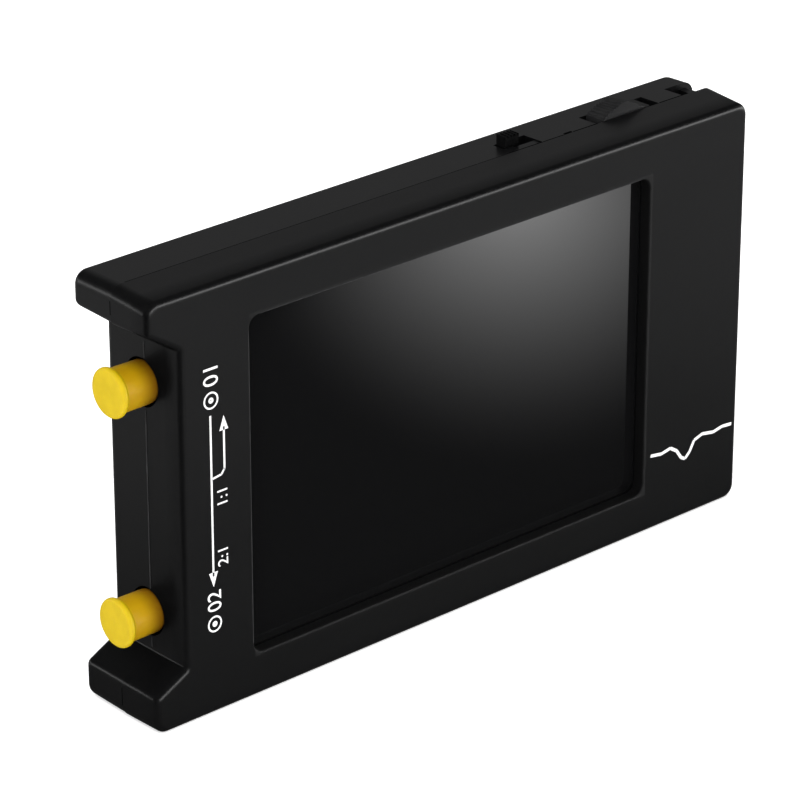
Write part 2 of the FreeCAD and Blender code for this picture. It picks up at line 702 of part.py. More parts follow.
def power_switch():
    knob_left = S.power_slot_left + 0.5
    middle = along(knob_left + S.power_knob_length / 2)
    can = block("power_can", (middle - 4, middle + 7.3), (BOARD_REAR, BOARD_REAR + 2.9), (66.3, 70.3))
    track = block("power_track", (middle - 1.3, middle + 4.6), (BOARD_REAR + 0.3, BOARD_REAR + 1.6),
                  (68.3, 71))
    cut("power_switch", can, track)
    lever_y = (BOARD_REAR + 0.4, BOARD_REAR + 1.4)
    block("power_lever", (middle - 0.9, middle + 0.9), lever_y, (68.6, 75))
    front, rear = S.power_slot_front + S.knob_play, S.power_slot_rear - S.knob_play
    top = S.case_height + S.power_knob_rise
    half = S.power_knob_length / 2
    grip = block("power_grip", (middle - half, middle + half), (front, rear), (73, top))
    flange = block("power_flange", (middle - 4, middle + 4), (front - 0.5, rear + 0.4), (72.3, 73.25))
    grooves = [block(f"power_groove{n}", (middle - half + 0.45 + 0.75 * n, middle - half + 0.8 + 0.75 * n),
                     (front - 1, rear + 1), (top - 0.3, top + 1)) for n in range(4)]
    socket = block("power_socket", (middle - 0.9, middle + 0.9), lever_y, (70, 75))
    cut("power_knob", fuse("power_knob_blank", [grip, flange]),
        fuse("power_knob_cuts", grooves + [socket]))


def jog_switch():
    """The three-way jog: it slides left and right, and it pushes in."""
    middle = along((S.jog_left + S.jog_right) / 2)
    can = block("jog_can", (middle - 5, middle + 5), (BOARD_REAR, BOARD_REAR + 2.8), (65.3, 70.2))
    track = block("jog_track", (middle - 3.8, middle + 3.8), (BOARD_REAR + 0.5, BOARD_REAR + 2.3),
                  (68.2, 71))
    cut("jog_switch", can, track)
    slider_block = block("jog_slider_block", (middle - 2, middle + 2),
                         (BOARD_REAR + 0.6, BOARD_REAR + 2.2), (68.4, 70.6))
    stem_y = (BOARD_REAR + 0.9, BOARD_REAR + 1.8)
    slider_hole = block("jog_slider_hole", (middle - 0.85, middle + 0.85),
                        (stem_y[0] - 0.05, stem_y[1] + 0.05), (68, 71))
    cut("jog_slider", slider_block, slider_hole)
    block("jog_stem", (middle - 0.8, middle + 0.8), stem_y, (69.3, 74.2))
    jog_cap(middle, stem_y)


def jog_cap(middle, stem_y):
    """The cap's side view: a ramp with a step, a crest and a rounded back."""
    left, right = along(S.jog_left), along(S.jog_right)
    front, rear = SPLIT + S.knob_play, S.jog_slot_rear - S.knob_play
    base, crest = S.case_height, S.case_height + S.jog_rise
    body = new_body("jog_cap_blank")
    ramp = [(left, 73), (left, base + 0.1), (left + 0.6, base + 0.4), (left + 1.5, base + 1),
            (left + 2.6, base + 1.45), (left + 3.4, base + 1.65), (left + 4.3, crest - 0.12),
            (left + 4.9, crest)]
    back = [(left + 5.8, crest - 0.02), (left + 7.1, base + 1.65), (left + 8.6, base + 0.8),
            (left + 9.9, base + 0.25), (right, base + 0.05), (right, 73)]
    pad_y(body, "jog_side", ramp + back, front, rear - front, 1)
    flange = block("jog_flange", (middle - 8.4, middle + 8.4), (front, rear), (72.3, 73.1))
    socket = block("jog_socket", (middle - 0.8, middle + 0.8), stem_y, (70, 74.2))
    cut("jog_cap", fuse("jog_cap_solid", [body, flange]), socket)


# ---------------------------------------------------------------- sockets in the far end

def end_sockets():
    face = RIGHT - 0.9
    shell_x = (face - S.usb_length, face)
    half_z, high_y = S.usb_width / 2, BOARD_REAR + S.usb_height
    outer = block("usb_outer", shell_x, (BOARD_REAR, high_y), (S.usb_z - half_z, S.usb_z + half_z))
    inner = block("usb_inner", (face - S.usb_length + 0.4, face + 1),
                  (BOARD_REAR + 0.3, high_y - 0.3), (S.usb_z - half_z + 0.3, S.usb_z + half_z - 0.3))

    def lengthwise(edge):
        start, end = ends(edge)
        return abs(start.x - end.x) > 2
    cut("usb_socket", softened("usb_outside", outer, 1.45, lengthwise),
        softened("usb_inside", inner, 1.2, lengthwise))
    middle_y = BOARD_REAR + S.usb_height / 2
    block("usb_tongue", (face - S.usb_length + 0.4, face - 1.2), (middle_y - 0.35, middle_y + 0.35),
          (S.usb_z - 3.3, S.usb_z + 3.3))
    outer = block("card_outer", (RIGHT - 16.5, RIGHT - 2.6), (BOARD_REAR, BOARD_REAR + 1.6),
                  (S.card_z - 7, S.card_z + 7))
    slot = block("card_slot", (RIGHT - 15, RIGHT), (BOARD_REAR + 0.3, BOARD_REAR + 1.3),
                 (S.card_z - 5.6, S.card_z + 5.6))
    cut("card_socket", outer, slot)


# ---------------------------------------------------------------- build and write

front_shell()
rear_shell()
case_screws()
board_screws()
display()
main_board()
board_chips()
port("port_upper", S.port_upper)
port("port_lower", S.port_lower)
battery()
power_switch()
jog_switch()
end_sockets()
doc.recompute()

NODES = [
    "front_shell", "rear_shell", "case_screws", "board_screws",
    "screen_gasket", "touch_glass", "lcd_panel", "backlight", "lcd_tray",
    "lcd_tail", "lcd_socket", "lcd_latch",
    "main_board", "processor_chip", "clock_chip", "codec_chip", "crystal_can", "charger_chip",
    "mixer_chips", "board_passives", "shield_can_upper", "shield_can_lower", "charge_light",
    "port_upper_body", "port_upper_insulator", "port_upper_contact", "port_upper_cap",
    "port_lower_body", "port_lower_insulator", "port_lower_contact", "port_lower_cap",
    "battery_pouch", "battery_pad", "battery_header", "battery_plug",
    "battery_lead_red", "battery_lead_black",
    "power_switch", "power_lever", "power_knob",
    "jog_switch", "jog_slider", "jog_stem", "jog_cap",
    "usb_socket", "usb_tongue", "card_socket",
]

for thing in doc.Objects:
    if {"Invalid", "Error"} & set(thing.State):
        raise RuntimeError(f"{thing.Label} failed: {thing.State}")

os.makedirs("parts", exist_ok=True)
for name in NODES:
    node = doc.getObjectsByLabel(name)[0]
    if node.Shape.isNull() or not node.Shape.isValid():
        raise RuntimeError(f"{name} has no valid shape")
    box = node.Shape.BoundBox
    print(f"{name}: {len(node.Shape.Solids)} solid, {node.Shape.Volume:.1f} mm3, "
          f"x {box.XMin:.1f}..{box.XMax:.1f} y {box.YMin:.1f}..{box.YMax:.1f} "
          f"z {box.ZMin:.1f}..{box.ZMax:.1f}")
    node.Shape.exportStep(f"parts/{name}.step")
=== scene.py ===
# %% [markdown]
# # A pocket network analyzer
# The real object is a black moulded box about 134 mm long that measures what radio parts do to a
# signal. It has a glossy screen, two gold coaxial ports under yellow dust caps, and two small
# switches on top. The engineering model already has the right sizes, so this lesson only loads it,
# gives each part a believable finish, rebuilds the few parts that need finer shapes, and lights it.

# %% Load the frame
import math

import bpy
import numpy as np
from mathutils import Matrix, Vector


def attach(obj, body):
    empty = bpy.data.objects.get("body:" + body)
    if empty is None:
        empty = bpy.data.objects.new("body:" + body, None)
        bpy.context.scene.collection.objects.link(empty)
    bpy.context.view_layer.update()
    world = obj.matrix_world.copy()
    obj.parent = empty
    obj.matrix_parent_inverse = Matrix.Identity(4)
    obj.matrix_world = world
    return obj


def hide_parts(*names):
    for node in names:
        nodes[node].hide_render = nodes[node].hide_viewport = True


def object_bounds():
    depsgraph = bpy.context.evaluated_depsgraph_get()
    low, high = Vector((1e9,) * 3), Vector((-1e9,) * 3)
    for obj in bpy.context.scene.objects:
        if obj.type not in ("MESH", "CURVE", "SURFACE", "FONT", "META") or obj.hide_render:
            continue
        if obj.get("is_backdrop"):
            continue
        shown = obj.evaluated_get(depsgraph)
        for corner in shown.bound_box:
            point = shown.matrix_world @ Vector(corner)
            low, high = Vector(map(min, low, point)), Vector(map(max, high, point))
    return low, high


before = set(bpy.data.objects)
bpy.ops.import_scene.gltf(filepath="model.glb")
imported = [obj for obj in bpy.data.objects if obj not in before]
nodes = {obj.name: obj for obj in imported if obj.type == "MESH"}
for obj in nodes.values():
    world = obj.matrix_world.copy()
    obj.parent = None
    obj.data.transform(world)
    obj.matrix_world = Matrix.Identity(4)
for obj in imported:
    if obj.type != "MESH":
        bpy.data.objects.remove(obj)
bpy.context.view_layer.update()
MM = 0.001

# %% [markdown]
# ## The camera
# A long lens far away keeps the long edges nearly parallel, as in a catalogue. The camera
# looks at a point near the middle of the case and is placed by two angles and a distance, which
# is easier to reason about than three coordinates.

# %% The camera
TURN, RISE = math.radians(41.99), math.radians(24.67)
LENS, DISTANCE = 189.49, 703.44 * MM
TARGET = Vector((-6.46, -0.8, 38.25)) * MM

to_camera = Vector((-math.sin(TURN) * math.cos(RISE), -math.cos(TURN) * math.cos(RISE), math.sin(RISE)))
camera = bpy.data.objects.new("catalogue_camera", bpy.data.cameras.new("catalogue_camera"))
camera.data.lens = LENS
camera.rotation_mode = "QUATERNION"
camera.rotation_quaternion = (-to_camera).to_track_quat("-Z", "Y")
camera.location = TARGET + DISTANCE * to_camera
bpy.context.scene.collection.objects.link(camera)
bpy.context.scene.camera = camera
print("camera at", [round(place, 3) for place in camera.location])

# %% [markdown]
# ## Node graphs as sums
# A finish is a graph of nodes, and wiring one by hand hides the idea behind it. Here one small
# class stands for a number that varies over the surface, so a mask is written like any other sum,
# and one method makes every other kind of node.

# %% A value that varies over a surface
class Varying:
    """A socket of a node graph; arithmetic on it adds Math nodes to the graph."""

    def __init__(self, graph, socket):
        self.graph, self.socket = graph, socket

    def math(self, operation, *others):
        places = dict(enumerate((self,) + others))
        return self.graph.node("ShaderNodeMath", {"operation": operation}, places)["Value"]

    def __add__(self, other):
        return self.math("ADD", other)

    def __sub__(self, other):
        return self.math("SUBTRACT", other)

    def __mul__(self, other):
        return self.math("MULTIPLY", other)

    def __truediv__(self, other):
        return self.math("DIVIDE", other)

    def __pow__(self, other):
        return self.math("POWER", other)

    def __rsub__(self, other):
        return self * -1 + other

    __radd__, __rmul__ = __add__, __mul__

    def step(self, start, stop):
        """0 below start, 1 above stop and a smooth ramp between."""
        settings = {"interpolation_type": "SMOOTHSTEP"}
        places = {"Value": self, "From Min": start, "From Max": stop}
        return self.graph.node("ShaderNodeMapRange", settings, places)["Result"]


class Graph:
    """Makes and wires the nodes of one material or world."""

    def __init__(self, owner):
        owner.use_nodes = True
        self.tree = owner.node_tree
        self.tree.nodes.clear()

    def node(self, kind, settings=None, places=None):
        """A node of this kind, with its settings first and then its sockets' values or links."""
        made = self.tree.nodes.new(kind)
        for name, setting in (settings or {}).items():
            setattr(made, name, setting)
        for name, value in (places or {}).items():
            if isinstance(value, Varying):
                self.tree.links.new(value.socket, made.inputs[name])
            else:
                made.inputs[name].default_value = value
        outputs = [socket for socket in reversed(made.outputs) if socket.enabled]
        return {socket.name: Varying(self, socket) for socket in outputs}

    def where(self):
        """The place on the object, in metres."""
        return self.node("ShaderNodeTexCoord")["Object"]

    def axes(self, vector):
        """The three parts of a vector as separate values."""
        split = self.node("ShaderNodeSeparateXYZ", None, {"Vector": vector})
        return split["X"], split["Y"], split["Z"]

    def noise(self, vector, scale, detail):
        """Smooth noise round 0.5; scale is how many lumps there are per metre."""
        places = {"Vector": vector, "Scale": scale, "Detail": detail}
        return self.node("ShaderNodeTexNoise", None, places)["Fac"]

    def stretched(self, vector, factors):
        """The vector with each axis multiplied by its own factor."""
        places = {0: vector, 1: factors}
        return self.node("ShaderNodeVectorMath", {"operation": "MULTIPLY"}, places)["Vector"]

    def millimetres(self):
        """The place on the object as separate x, y and z, in millimetres."""
        return self.axes(self.stretched(self.where(), (1 / MM, 1 / MM, 1 / MM)))

    def blend(self, mask, first, second):
        """The first colour where the mask is 0 and the second where it is 1."""
        return self.node("ShaderNodeMix", {"data_type": "RGBA"}, {0: mask, 6: first, 7: second})["Result"]

    def bump(self, height, distance, strength=1.0):
        places = {"Height": height, "Distance": distance, "Strength": strength}
        return self.node("ShaderNodeBump", None, places)["Normal"]


def grey(level):
    return (level, level, level, 1.0)


print("node helpers ready")

# %% [markdown]
# ## Soft white studio
# The background is plain white paper. Black plastic shows almost nothing but reflections, so the
# paper's brightness and what the plastic reflects are set apart: the world is white to the camera
# and for lighting the floor, and reflections show a dim room instead. That room has two bright
# bands at eye level, to the front right and the rear left, and two weaker patches.

# %% World
world = bpy.data.worlds.new("studio_room")
bpy.context.scene.world = world
bpy.context.scene.view_settings.view_transform = "Standard"
room = Graph(world)
ray = room.node("ShaderNodeLightPath")
sight = room.node("ShaderNodeTexCoord")["Generated"]


def toward(direction, start, stop):
    """A soft patch of the room: 1 looking along the direction, 0 outside the patch."""
    unit = Vector(direction).normalized()
    dot = room.node("ShaderNodeVectorMath", {"operation": "DOT_PRODUCT"}, {0: sight, 1: unit})["Value"]
    return dot.step(start, stop)


PAPER, SHADE = 1.12, 0.02
level = room.axes(sight)[2]
waist = level.step(-0.18, 0.01) * (1 - level.step(0.05, 0.17))
narrow = level.step(-0.03, 0.06) * (1 - level.step(0.08, 0.22))
FRONT_BAND, REAR_BAND, REAR_PATCH, LOW_PATCH = 4.7, 2.4, 0.12, 0.9
reflected = (SHADE
             + FRONT_BAND * waist * toward((0.63, -0.77, 0.0), 0.55, 0.97)
             + REAR_BAND * narrow * toward((-0.73, 0.67, 0.0), 0.75, 0.98)
             + REAR_PATCH * toward((0.61, 0.70, 0.37), 0.75, 0.98)
             + LOW_PATCH * toward((0.89, 0.19, -0.42), 0.92, 0.99))
seen = ray["Is Glossy Ray"]
strength = PAPER * (1 - seen) + reflected * seen
backdrop = room.node("ShaderNodeBackground", None, {"Color": grey(1.0), "Strength": strength})
room.node("ShaderNodeOutputWorld", None, {"Surface": backdrop["Background"]})
print("world ready")

# %% [markdown]
# ## The lights
# A large soft light above the camera lights the matt surfaces and shows in no reflection. The
# other two do the reverse: each shows only in the reflections of its own few pieces, the gold
# ports or the dust caps, and lights nothing.

# %% Lights
MIDDLE, PORT_END = (0, 0, 38), (-60, 0, 38)


def panel(name, place, aim, size, power):
    """A rectangular soft light; place and aim are in millimetres, size is (width, height)."""
    light = bpy.data.lights.new(name, "AREA")
    light.shape = "RECTANGLE"
    light.size, light.size_y = size[0] * MM, size[1] * MM
    light.energy = power
    lamp = bpy.data.objects.new(name, light)
    lamp.location = Vector(place) * MM
    lamp.rotation_mode = "QUATERNION"
    lamp.rotation_quaternion = (Vector(aim) * MM - lamp.location).to_track_quat("-Z", "Y")
    lamp.visible_camera = False
    bpy.context.scene.collection.objects.link(lamp)
    return lamp


def glint(name, place, size, power, receivers):
    """A panel that only its receivers reflect; gives the collection that they join."""
    lamp = panel(name, place, PORT_END, size, power)
    lamp.visible_diffuse = False
    alone = bpy.data.collections.new(receivers)
    lamp.light_linking.receiver_collection = alone
    return alone


key = panel("key_light", (-700, -620, 900), MIDDLE, (700, 700), 9.0)
key.visible_glossy = False
gold_alone = glint("gold_light", (-600, -420, 420), (900, 900), 5.0, "gold_alone")
caps_alone = glint("cap_light", (426, -541, 379), (240, 240), 0.6, "caps_alone")

# %% [markdown]
# ## The card in the screen
# A mirror-smooth screen shows whatever lies where it looks, which here is a spot on the table in
# front and to the right. A white card there, a little below the table's level, is brightest in
# the middle and fades as the square of the distance from its edge. It gives the screen its soft
# glow, and only the screen's reflection sees it.

# %% Reflected card
CARD_PLACE, CARD_ANGLE = (248.98, -256.45, -60.0), 0.757
CARD_REACH, CARD_POWER = (70.4, 176.2), 4.9


def glow_surface(name, light):
    """A surface that adds light(x, y) to whatever is behind it; x and y are in millimetres."""
    material = bpy.data.materials.new(name)
    graph = Graph(material)
    across, along, _ = graph.millimetres()
    glow = graph.node("ShaderNodeEmission", None, {"Strength": light(across, along)})["Emission"]
    clear = graph.node("ShaderNodeBsdfTransparent")["BSDF"]
    both = graph.node("ShaderNodeAddShader", None, {0: glow, 1: clear})["Shader"]
    graph.node("ShaderNodeOutputMaterial", None, {"Surface": both})
    return material


def sheet(name, half_x, half_y, material):
    """A flat rectangle round the origin; its half sides are in metres."""
    corners = [(-half_x, -half_y, 0), (half_x, -half_y, 0), (half_x, half_y, 0), (-half_x, half_y, 0)]
    mesh = bpy.data.meshes.new(name)
    mesh.from_pydata(corners, [], [(0, 1, 2, 3)])
    mesh.materials.append(material)
    return bpy.data.objects.new(name, mesh)


def reflection_only(thing, receivers):
    """Shows a glowing sheet in reflections alone, and only to the receivers' collection."""
    for sense in ("camera", "diffuse", "shadow", "transmission", "volume_scatter"):
        setattr(thing, "visible_" + sense, False)
    thing.light_linking.receiver_collection = receivers
    bpy.context.scene.collection.objects.link(thing)
    thing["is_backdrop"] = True


def card_light(across, along):
    """Light = power * (1 - r)^2, where r is 0 in the card's middle and 1 on an ellipse."""
    distance = ((across / CARD_REACH[0]) ** 2 + (along / CARD_REACH[1]) ** 2) ** 0.5
    return CARD_POWER * (1 - distance).math("MAXIMUM", 0.0) ** 2


card_halves = [side * MM for side in CARD_REACH]
card = sheet("glow_card", *card_halves, glow_surface("card_glow", card_light))
card.location = Vector(CARD_PLACE) * MM
card.rotation_euler = (0, 0, CARD_ANGLE)
screen_alone = bpy.data.collections.new("screen_alone")
screen_alone.objects.link(nodes["touch_glass"])
reflection_only(card, screen_alone)
print("card", CARD_REACH, "mm")

# %% [markdown]
# ## The table's glow
# The low faces of the black case reflect the table, which is dark where it meets the box and
# lighter further away. A second sheet, which every loaded part but the screen reflects, glows
# more with the distance from the box's footprint, so every low face fades towards its foot.

# %% Table glow
GLOW_NEAR, GLOW_RISE, GLOW_REACH = 0.035, 0.175, 125.0
FOOT_X, FOOT_Y, CORNER_FADE, TABLE_HALF = 67, 10, 25, 0.6


def table_light(across, along):
    """Light = near + rise * min(distance from the footprint / reach, 1), times 1 - corner.

    The corner is 1 well past the near left corner of the footprint, where nothing glows."""
    beside = (across.math("ABSOLUTE") - FOOT_X).math("MAXIMUM", 0.0)
    ahead = (along.math("ABSOLUTE") - FOOT_Y).math("MAXIMUM", 0.0)
    distance = (beside ** 2 + ahead ** 2) ** 0.5
    light = GLOW_NEAR + GLOW_RISE * (distance / GLOW_REACH).math("MINIMUM", 1.0)
    corner = (-1 * across - FOOT_X).step(0, CORNER_FADE) * (-1 * along - FOOT_Y).step(0, CORNER_FADE)
    return light * (1 - corner)


table = sheet("table_glow", TABLE_HALF, TABLE_HALF, glow_surface("table_glow", table_light))
plastic_alone = bpy.data.collections.new("plastic_alone")
for name, part in nodes.items():
    if name != "touch_glass":
        plastic_alone.objects.link(part)
reflection_only(table, plastic_alone)
print("table glow reaches", GLOW_REACH, "mm")

# %% [markdown]
# ## Small tools for meshes
# A new piece is a grid of points, worked out for all points at once with numpy, and the faces
# join neighbours on the grid. Closed seams share their points, so no normals break there.

# %% Mesh tools
STEPS, PORT_Y = 96, 0.2


def piece(name, points, faces, finish, body, smooth=True):
    """A mesh object from points in metres and faces, riding on a body."""
    mesh = bpy.data.meshes.new(name)
    mesh.from_pydata(points.tolist(), [], [list(face) for face in faces])
    mesh.validate()
    mesh.polygons.foreach_set("use_smooth", np.full(len(mesh.polygons), smooth))
    mesh.materials.append(finish)
    thing = bpy.data.objects.new(name, mesh)
    bpy.context.scene.collection.objects.link(thing)
    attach(thing, body)
    return thing


def grid_faces(rows, columns):
    """Quads between neighbours on a rows x columns grid whose last column meets its first."""
    row, column = np.meshgrid(np.arange(rows - 1), np.arange(columns), indexing="ij")
    beside = (column + 1) % columns
    start, after = row * columns, (row + 1) * columns
    corners = (start + column, start + beside, after + beside, after + column)
    return np.stack(corners, axis=-1).reshape(-1, 4)


def lathe(profile, height):
    """Points and faces of a profile turned about a port's axis.

    The profile is (x, radius) pairs in millimetres from pole to pole. Each ring is
    x, y = axis + radius * cos(angle), z = height + radius * sin(angle)."""
    along_axis, radius = np.array(profile, float).T
    angle = np.linspace(0, 2 * np.pi, STEPS, endpoint=False)
    inner = slice(1, -1)
    x = np.repeat(along_axis[inner, None], STEPS, axis=1)
    y = PORT_Y + radius[inner, None] * np.cos(angle)
    z = height + radius[inner, None] * np.sin(angle)
    rings = np.stack([x, y, z], axis=-1).reshape(-1, 3)
    count = len(profile) - 2
    poles = np.array([[along_axis[0], PORT_Y, height], [along_axis[-1], PORT_Y, height]])
    first, last = len(rings), len(rings) + 1
    quads = grid_faces(count, STEPS)
    here = np.arange(STEPS)
    beside = (here + 1) % STEPS
    start_fan = np.stack([np.full(STEPS, first), beside, here], axis=-1)
    end_row = (count - 1) * STEPS
    end_fan = np.stack([np.full(STEPS, last), end_row + here, end_row + beside], axis=-1)
    faces = [face for block in (quads, start_fan, end_fan) for face in block.tolist()]
    return np.concatenate([rings, poles]) * MM, faces


def bar(name, low, high, finish):
    """A box on the case between two opposite corners given in millimetres."""
    low, high = np.array(low, float), np.array(high, float)
    share = np.array([(i, j, k) for i in (0, 1) for j in (0, 1) for k in (0, 1)])
    faces = [(0, 1, 3, 2), (4, 6, 7, 5), (0, 4, 5, 1), (2, 3, 7, 6), (0, 2, 6, 4), (1, 5, 7, 3)]
    return piece(name, (low + share * (high - low)) * MM, faces, finish, "case", False)


print("mesh tools ready")

# %% [markdown]
# ## Finishes
# The parts fall into families: moulded plastics, plated or brushed metals, boards and foils. One
# function makes the common kind: two close colours mixed by soft noise, an uneven shine, and a
# fine bump whose grain has the size of the real surface's. The parts that are seen most get their
# own finishes after that.

# %% The common finish
def principled(graph, normal=None, **sockets):
    """The shader that every finish ends in; its sockets are given by name with _ for a space."""
    places = {name.replace("_", " "): value for name, value in sockets.items()}
    if normal is not None:
        places["Normal"] = normal
    shader = graph.node("ShaderNodeBsdfPrincipled", None, places)
    graph.node("ShaderNodeOutputMaterial", None, {"Surface": shader["BSDF"]})


def new_finish(name):
    material = bpy.data.materials.new(name)
    return material, Graph(material)


def common_finish(name, colour, second, lumps, shine, spread, grain, depth, metallic=0.0,
                  stretch=(1.0, 1.0, 1.0), coat=0.0, specular=0.5):
    """lumps and grain are per metre, depth is the grain's height in metres."""
    material, graph = new_finish(name)
    place = graph.stretched(graph.where(), stretch)
    tone = graph.noise(place, lumps, 3.0).step(0.3, 0.7)
    fine = graph.noise(place, grain, 2.0)
    roughness = shine + spread * (tone - 0.5) + spread * (fine - 0.5)
    shade = graph.blend(tone, colour + (1.0,), second + (1.0,))
    principled(graph, graph.bump(fine, depth), Base_Color=shade, Roughness=roughness,
               Metallic=metallic, Coat_Weight=coat, Specular_IOR_Level=specular)
    return material


FINISHES = {
    "screw_steel": dict(colour=(0.10, 0.10, 0.11), second=(0.07, 0.07, 0.08), lumps=900, shine=0.35,
                        spread=0.10, grain=6000, depth=4e-6, metallic=1.0),
    "foam": dict(colour=(0.008, 0.008, 0.008), second=(0.014, 0.014, 0.014), lumps=2000, shine=0.9,
                 spread=0.1, grain=5000, depth=3e-5),
    "display_glass": dict(colour=(0.004, 0.004, 0.005), second=(0.006, 0.006, 0.007), lumps=40,
                          shine=0.12, spread=0.05, grain=4000, depth=1e-6),
    "light_guide": dict(colour=(0.80, 0.80, 0.80), second=(0.74, 0.75, 0.76), lumps=300, shine=0.30,
                        spread=0.1, grain=4000, depth=1e-6),
    "sheet_steel": dict(colour=(0.62, 0.62, 0.61), second=(0.50, 0.50, 0.50), lumps=500, shine=0.30,
                        spread=0.15, grain=3000, depth=3e-6, metallic=1.0, stretch=(0.2, 1.0, 1.0)),
    "amber_film": dict(colour=(0.50, 0.20, 0.02), second=(0.40, 0.15, 0.02), lumps=400, shine=0.25,
                       spread=0.1, grain=2500, depth=2e-6, stretch=(0.1, 1.0, 1.0)),
    "connector_plastic": dict(colour=(0.78, 0.75, 0.66), second=(0.70, 0.67, 0.58), lumps=400,
                              shine=0.45, spread=0.1, grain=6000, depth=5e-6),
    "dark_plastic": dict(colour=(0.0016, 0.0016, 0.0017), second=(0.0035, 0.0035, 0.0037), lumps=1200,
                         shine=0.45, spread=0.12, grain=7000, depth=6e-6, specular=0.06),
    "chip_epoxy": dict(colour=(0.020, 0.020, 0.021), second=(0.032, 0.032, 0.034), lumps=1500,
                       shine=0.55, spread=0.12, grain=9000, depth=6e-6),
    "crystal_metal": dict(colour=(0.70, 0.68, 0.62), second=(0.62, 0.60, 0.54), lumps=1200, shine=0.22,
                          spread=0.12, grain=7000, depth=2e-6, metallic=1.0),
    "small_parts": dict(colour=(0.50, 0.40, 0.27), second=(0.40, 0.31, 0.20), lumps=2500, shine=0.5,
                        spread=0.1, grain=9000, depth=4e-6),
    "clear_lens": dict(colour=(0.85, 0.85, 0.80), second=(0.78, 0.80, 0.76), lumps=900, shine=0.15,
                       spread=0.05, grain=5000, depth=1e-6),
    "gold_plate": dict(colour=(0.80, 0.56, 0.20), second=(0.72, 0.48, 0.15), lumps=600, shine=0.20,
                       spread=0.12, grain=5000, depth=2e-6, metallic=1.0),
    "insulator_white": dict(colour=(0.84, 0.84, 0.82), second=(0.78, 0.78, 0.75), lumps=700, shine=0.40,
                            spread=0.1, grain=5000, depth=3e-6),
    "battery_foil": dict(colour=(0.60, 0.60, 0.62), second=(0.50, 0.50, 0.53), lumps=200, shine=0.35,
                         spread=0.15, grain=1500, depth=1.5e-5, metallic=0.9),
    "wire_red": dict(colour=(0.50, 0.015, 0.012), second=(0.42, 0.012, 0.010), lumps=800, shine=0.45,
                     spread=0.1, grain=6000, depth=4e-6),
    "wire_black": dict(colour=(0.015, 0.015, 0.016), second=(0.024, 0.024, 0.025), lumps=800,
                       shine=0.45, spread=0.1, grain=6000, depth=4e-6),
}
finishes = {slot: common_finish(slot + "_finish", **recipe) for slot, recipe in FINISHES.items()}
print("common finishes", len(finishes))

# %% [markdown]
# ## The case plastic
# The case is satin black ABS. The mould was eroded by sparks, which leaves a grain of about a
# tenth of a millimetre, and hands leave broad smears that shine a little more. Its black is nearly
# all reflection, so the roughness matters more than the colour. The walls of the screen's window
# are the dullest part.

# %% Case plastic
ROLL_START, ROLL_RATE = -5.2 * MM, 34.0
WINDOW_LEFT, WINDOW_RIGHT, WINDOW_BACK = (-46.1, -45.9), (43.2, 43.8), (-6.5, -6.0)
WINDOW_FOOT, WINDOW_TOP, WINDOW_DULL = (7.2, 7.6), (67.8, 68.3), 0.35


def case_plastic():
    """Grain and a soft roll of the edges: height = -rate * (distance in front of the roll's start)^2."""
    material, graph = new_finish("case_plastic_finish")
    place = graph.where()
    grain = graph.noise(place, 7500, 2.0)
    mottle = graph.noise(place, 1400, 2.0)
    smear = graph.noise(graph.stretched(place, (18, 18, 42)), 1.0, 3.0).step(0.45, 0.75)
    colour = graph.blend(mottle.step(0.35, 0.65), (0.0016, 0.0016, 0.0018, 1), (0.0026, 0.0026, 0.0028, 1))
    across, depth, up = graph.millimetres()
    width = across.step(*WINDOW_LEFT) * (1 - across.step(*WINDOW_RIGHT))
    window = (width * up.step(*WINDOW_FOOT) * (1 - up.step(*WINDOW_TOP))
              * (1 - depth.step(*WINDOW_BACK)))
    roughness = 0.30 - 0.02 * smear + 0.04 * (grain - 0.5) + WINDOW_DULL * window
    ahead = (ROLL_START - graph.axes(place)[1]).math("MAXIMUM", 0.0)
    height = 5e-6 * grain + 2e-6 * mottle - ROLL_RATE * ahead ** 2
    principled(graph, graph.bump(height, 1.0), Base_Color=colour, Roughness=roughness, IOR=1.53)
    return material


finishes["case_plastic"] = case_plastic()

# %% [markdown]
# ## The screen
# When it is off, the touch screen is the darkest part of the box and mirrors the room. A faint
# haze of wiped finger marks keeps the mirror from looking like a hole.

# %% Screen glass
def screen_glass():
    material, graph = new_finish("screen_glass_finish")
    place = graph.where()
    haze = graph.noise(graph.stretched(place, (30, 30, 70)), 1.0, 4.0).step(0.4, 0.8)
    specks = graph.noise(place, 2600, 1.0).step(0.74, 0.80)
    colour = graph.blend(specks, (0.0036, 0.0036, 0.0038, 1), (0.007, 0.007, 0.007, 1))
    roughness = 0.05 + 0.03 * haze + 0.08 * specks
    principled(graph, graph.bump(haze, 2e-7), Base_Color=colour, Roughness=roughness, IOR=1.5)
    return material


finishes["screen_glass"] = screen_glass()

# %% [markdown]
# ## The circuit board
# It is hidden in the closed case, but it shows through the slots. Black lacquer covers copper
# tracks, which stand a little proud, so a brick pattern in the bump gives the tracks.

# %% Board laminate
def board_laminate():
    material, graph = new_finish("board_laminate_finish")
    place = graph.where()
    flat = graph.stretched(place, (1.0, 0.0, 1.0))
    turned = graph.node("ShaderNodeMapping", {"vector_type": "POINT"},
                        {"Vector": flat, "Rotation": (math.pi / 2, 0.0, 0.0)})["Vector"]
    bricks = graph.node("ShaderNodeTexBrick", None,
                        {"Vector": turned, "Scale": 260.0, "Mortar Size": 0.06, "Mortar Smooth": 0.2})
    track = 1 - bricks["Fac"]
    weave = graph.noise(place, 2500, 2.0)
    colour = graph.blend(track, (0.006, 0.010, 0.009, 1), (0.012, 0.020, 0.018, 1))
    principled(graph, graph.bump(track + 0.2 * weave, 3e-5), Base_Color=colour,
               Roughness=0.28 + 0.1 * weave, Coat_Weight=0.3)
    return material


finishes["board_laminate"] = board_laminate()

